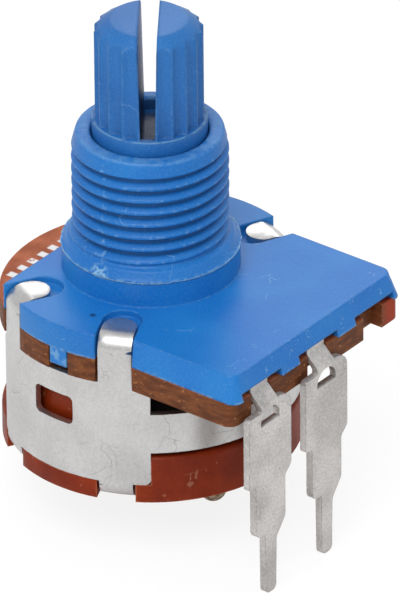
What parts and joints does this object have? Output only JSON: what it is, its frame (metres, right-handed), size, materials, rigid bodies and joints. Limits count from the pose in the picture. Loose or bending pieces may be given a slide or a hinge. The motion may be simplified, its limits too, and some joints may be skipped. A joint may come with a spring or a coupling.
{
  "type": "rotary potentiometer",
  "caption": "Single-turn carbon potentiometer with a moulded threaded bushing, a split fluted shaft, a pressed steel wrap and long printed-circuit terminals.",
  "frame": {"origin": "on the shaft axis, at the upper face of the faceplate, where the panel seats", "axes": "+Z along the shaft, out of the bushing; -Y towards the terminal edge; +X along that edge"},
  "size_m": [0.0164, 0.0201, 0.0291],
  "materials": {
    "housing_blue": "moulded, satin",
    "shaft_blue": "moulded, satin",
    "steel": "plain",
    "black_moulding": "moulded",
    "spring_bronze": "rolled strip",
    "wafer_board": "laminated phenolic paper",
    "carbon": "screen printed",
    "silver_print": "screen printed",
    "tinned_steel": "tin plated, pressed",
    "base_phenolic": "moulded, semi-gloss",
    "rivet_metal": "headed",
    "tinned_terminal": "tin plated"
  },
  "bodies": {
    "body": {"bushing_plate": "housing_blue", "thrust_washer": "steel", "resistor_wafer": "wafer_board", "carbon_track": "carbon", "collector_print": "silver_print", "end_lands": "silver_print", "shell": "tinned_steel", "base": "base_phenolic", "click_spring": "spring_bronze", "click_spring_rivet_front": "rivet_metal", "click_spring_rivet_back": "rivet_metal", "end_terminal": "tinned_terminal", "wiper_terminal": "tinned_terminal", "end_terminal_rivet": "rivet_metal", "wiper_terminal_rivet": "rivet_metal"},
    "rotating_shaft": {"shaft": "shaft_blue", "rotor": "black_moulding", "wiper": "spring_bronze"}
  },
  "joints": [
    {"name": "shaft_turn", "type": "hinge", "parent": "body", "child": "rotating_shaft", "pos_m": [0, 0, 0], "axis": [0, 0, 1], "range_deg": [-98, 202]}
  ]
}
